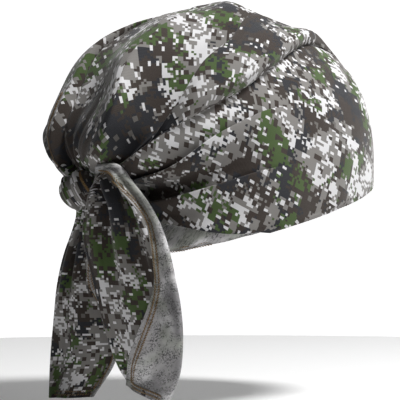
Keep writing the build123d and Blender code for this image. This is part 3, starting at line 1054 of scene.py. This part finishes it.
right_parts = [
    tail("right_tail_top", rt[0], rt[1], 40, RIGHT_TAIL, *RIGHT_TOP, ["right_tail_root"]),
    tail("right_tail_middle", rt[1], rt[2], 70, RIGHT_TAIL, *RIGHT_MIDDLE,
         ["right_tail_upper", "right_tail_roll_upper"]),
    tail("right_tail_end", rt[2], rt[3], 80, RIGHT_TAIL, *RIGHT_END,
         ["right_tail_lower", "right_tail_roll_lower"]),
]
left_parts = [
    tail("left_tail_top", lt[0], lt[1], 30, LEFT_TAIL, *LEFT_TOP, ["left_tail_root"]),
    tail("left_tail_middle", lt[1], lt[2], 60, LEFT_TAIL, *LEFT_MIDDLE, ["left_tail_upper"]),
    tail("left_tail_end", lt[2], lt[3], 80, LEFT_TAIL, *LEFT_END, ["left_tail_lower"]),
]

# ---------------------------------------------------------------- stitching


# a stitch's rings: how far along it, and how thick there
STITCH_ENDS = ((-1.0, 0.35), (-0.55, 1.0), (0.55, 1.0), (1.0, 0.35))


def stitches(name, path, normal, replaced, body=None, bend=None, gap=1.15, pitch=1.75):
    """Two rows of slanted stitches along a path of points in metres, raised on the cloth. gap and pitch are
    in mm. It rides on a body or, when given a bend, is left unattached as the tails' lengths are."""
    run = np.concatenate([[0], np.cumsum(np.linalg.norm(np.diff(path, axis=0), axis=1))])

    def at(values, d):
        return np.array([np.interp(d, run, values[:, c]) for c in range(3)])

    half, thin = 1.05, 0.27
    verts, faces = [], []
    for row, lean in ((-gap, 0.55), (gap, -0.55)):
        for k in range(int(run[-1] / (pitch * MM))):
            d = (k + 0.5) * pitch * MM
            p = at(path, d)
            out = unit(at(normal, d))
            ahead = unit(at(path, d + 0.2 * MM) - p)
            across = np.cross(out, ahead)
            way = ahead * math.cos(lean) + across * math.sin(lean)
            middle = p + across * row * MM + out * 0.30 * MM
            wide = np.cross(out, way)
            base = len(verts)
            for e, w in STITCH_ENDS:
                for m in range(6):
                    a = m * math.pi / 3
                    ring = wide * math.cos(a) * 1.3 + out * math.sin(a)
                    verts.append(tuple(middle + (way * half * e + ring * thin * w) * MM))
            for e in range(3):
                for m in range(6):
                    i, j = base + e * 6 + m, base + e * 6 + (m + 1) % 6
                    faces.append((i, j, j + 6, i + 6))
            faces.append(tuple(base + m for m in range(5, -1, -1)))
            faces.append(tuple(base + 18 + m for m in range(6)))
    mesh = bpy.data.meshes.new(name)
    mesh.from_pydata(verts, [], faces)
    mesh.materials.append(THREAD)
    mesh.polygons.foreach_set("use_smooth", [True] * len(mesh.polygons))
    obj = to_scene(name, mesh)
    if bend:
        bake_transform(obj)
    else:
        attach(obj, body)
    if replaced:
        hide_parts(*replaced)


def off_cloth(path, normal, clear=0.1):
    return path + normal * clear * MM, normal


def outward_from(side, ahead):
    normal = unit(np.cross(side, ahead))
    return np.where((normal @ FACING)[:, None] < 0, -normal, normal)


def hem_path(shape, t0, t1, count=60):
    """Points and outward directions down a tail's hem, just inside its edge."""
    s = np.full(count, 0.965)
    t = np.linspace(t0, t1, count)
    path = on_tail(*tail_points(t, s, *shape))
    side = on_tail(*tail_points(t, s - 0.004, *shape)) - path
    ahead = on_tail(*tail_points(np.clip(t + 0.004, 0, 1), s, *shape)) - path
    ahead[-1] = ahead[-2]
    return off_cloth(path, outward_from(side, ahead))


def end_path(shape, s0, s1, count=40):
    """Points and outward directions across a tail, just above its end."""
    s = np.linspace(s0, s1, count)
    t = np.full(count, 0.975)
    path = on_tail(*tail_points(t, s, *shape))
    up = on_tail(*tail_points(t - 0.01, s, *shape)) - path
    return off_cloth(path, outward_from(up, np.gradient(path, axis=0)))


for name, shape, t0, t1, bend, replaced in (
    ("right_hem_thread_top", RIGHT_SHAPE, 0.02, rt[1], RIGHT_TOP, []),
    ("right_hem_thread_middle", RIGHT_SHAPE, rt[1], rt[2], RIGHT_MIDDLE, ["right_hem_stitch_upper"]),
    ("right_hem_thread_end", RIGHT_SHAPE, rt[2], 0.975, RIGHT_END, ["right_hem_stitch_lower"]),
    ("left_hem_thread_middle", LEFT_SHAPE, lt[1], lt[2], LEFT_MIDDLE, ["left_hem_stitch_upper"]),
    ("left_hem_thread_end", LEFT_SHAPE, lt[2], 0.97, LEFT_END, ["left_hem_stitch_lower"]),
):
    stitches(name, *hem_path(shape, t0, t1), replaced, bend=bend)
stitches("right_end_thread", *end_path(RIGHT_SHAPE, 0.965, 0.83), ["right_end_stitch"], bend=RIGHT_END)
stitches("left_end_thread", *end_path(LEFT_SHAPE, 0.22, 0.70), ["left_end_stitch"], bend=LEFT_END)

# on the bared lining's hem, the knot and the edge of the back fold
row = LINING_ROWS - 4
turned = (lining_phi + 360) % 360
at_back = [k for k in np.argsort(turned) if 92 < turned[k] < 268]
path = lin_points[row, at_back]
normal = direction(lin_rho[row, at_back], lin_phi[row, at_back])
keep = path[:, 1] > 60 * MM
stitches("nape_hem_thread", *off_cloth(path[keep], normal[keep]), ["nape_hem_stitch"], body="cap")

th = np.linspace(-1.7, 1.7, 50)
path = band_points(WRAP_AT, WRAP_AXIS, WRAP_HALF, wrap_radius, 0.55 + 0.12 * np.sin(th), th)
_, side, third = band_axes(WRAP_AXIS)
normal = side * np.cos(th)[:, None] + third * np.sin(th)[:, None]
seam_path = off_cloth(path, normal, 0.05)
stitches("knot_seam_thread", *seam_path, ["knot_seam_stitch"], body="cap", gap=0.35, pitch=1.3)

fold_rho = np.linspace(9, 30, 40)
fold_phi = curve([(0, -50), (9, -30), (18, -17), (30, -13)], fold_rho) - 4
polygons = [list(f.vertices) for f in outer.data.polygons]
outer_tree = BVHTree.FromPolygons([v.co.copy() for v in outer.data.vertices], polygons)
ways = direction(fold_rho, fold_phi)
hits = [outer_tree.ray_cast(Vector(CENTRE) + Vector(d) * 0.3, -Vector(d), 0.3) for d in ways]
path, normal = np.array([h[0] for h in hits]), np.array([h[1] for h in hits])
normal = np.where(((normal * ways).sum(1) < 0)[:, None], -normal, normal)
stitches("back_fold_thread", *off_cloth(path, normal), ["back_fold_stitch"], body="cap")

# ---------------------------------------------------------------- set


def plain(name, colour, glow):
    m = bpy.data.materials.new(name)
    m.use_nodes = True
    shader = m.node_tree.nodes["Principled BSDF"]
    shader.inputs["Base Color"].default_value = colour
    shader.inputs["Roughness"].default_value = 0.95
    shader.inputs["Emission Color"].default_value = (1, 1, 1, 1)
    shader.inputs["Emission Strength"].default_value = glow
    return m


floor_z = CAD_LOW[2] - 0.004
bpy.ops.mesh.primitive_circle_add(vertices=128, radius=0.6, fill_type="NGON", location=(0, 0, floor_z))
floor = bpy.context.object
floor.name = "floor"
floor.data.materials.append(plain("floor_paint", (0.9, 0.9, 0.9, 1), 0.0))
upright = (math.radians(90), 0, math.radians(55))
bpy.ops.mesh.primitive_plane_add(size=5, location=(1.9, -1.33, 0.4), rotation=upright)
backdrop = bpy.context.object
backdrop.name = "backdrop"
backdrop.data.materials.append(plain("backdrop_light", (0.9, 0.9, 0.9, 1), 0.9))
bpy.context.scene.view_settings.view_transform = "Standard"



def towards(azimuth, elevation):
    """A unit direction from degrees: azimuth 0 is the front, and elevation 90 is up."""
    a, e = math.radians(azimuth), math.radians(elevation)
    return Vector((math.sin(a) * math.cos(e), -math.cos(a) * math.cos(e), math.sin(e)))


back = towards(235, 1)
target = Vector((13.8, 19.7, 10.7)) * MM
cam_data = bpy.data.cameras.new("camera")
cam_data.lens = 243
cam_data.sensor_width = 36
cam_data.clip_end = 50
cam = to_scene("camera", cam_data)
cam.location = target + back * 1.8
cam.rotation_euler = back.to_track_quat("Z", "Y").to_euler()
bpy.context.scene.camera = cam


def area_light(name, azimuth, elevation, distance, size, power):
    data = bpy.data.lights.new(name, "AREA")
    data.shape = "DISK"
    data.size = size
    data.energy = power
    obj = to_scene(name, data)
    way = towards(azimuth, elevation)
    obj.location = Vector((0, 0, 0.03)) + way * distance
    obj.rotation_euler = way.to_track_quat("Z", "Y").to_euler()


area_light("key", 296, 60, 1.3, 0.35, 19)
area_light("side", 322, 22, 1.5, 0.5, 6.5)

world = bpy.data.worlds.new("studio")
bpy.context.scene.world = world
world.use_nodes = True
world.node_tree.nodes["Background"].inputs["Color"].default_value = (1, 1, 1, 1)
world.node_tree.nodes["Background"].inputs["Strength"].default_value = 0.075
